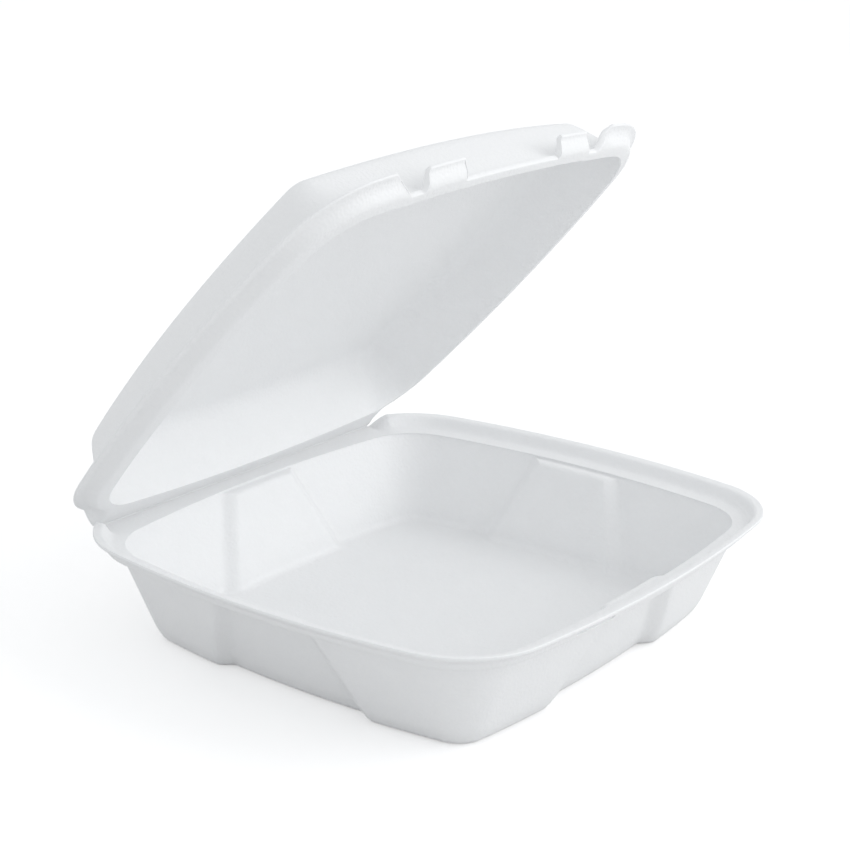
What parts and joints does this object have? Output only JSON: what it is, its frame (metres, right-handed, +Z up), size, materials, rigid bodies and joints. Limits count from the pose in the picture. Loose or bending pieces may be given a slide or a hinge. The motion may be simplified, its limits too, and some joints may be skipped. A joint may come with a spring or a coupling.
{
  "type": "foam clamshell container",
  "caption": "Square hinged-lid foam take-out box with bowed sides, recessed wall panels and a front-locking lid standing half open.",
  "frame": {"origin": "middle of the underside of the tray's floor, on the surface the box stands on", "axes": "+Z up, +X along the hinge, -Y towards the front catches"},
  "size_m": [0.24, 0.2299, 0.2078],
  "materials": {
    "tray_foam": "white expanded polystyrene foam with a smooth satin skin",
    "lid_foam": "white expanded polystyrene foam with a smooth satin skin"
  },
  "bodies": {
    "tray": {"tray": "tray_foam"},
    "lid": {"lid": "lid_foam"}
  },
  "joints": [
    {"name": "lid_hinge", "type": "hinge", "parent": "tray", "child": "lid", "pos_m": [0, 0.1095, 0.04185], "axis": [-1, 0, 0], "range_deg": [-47, 133]}
  ]
}
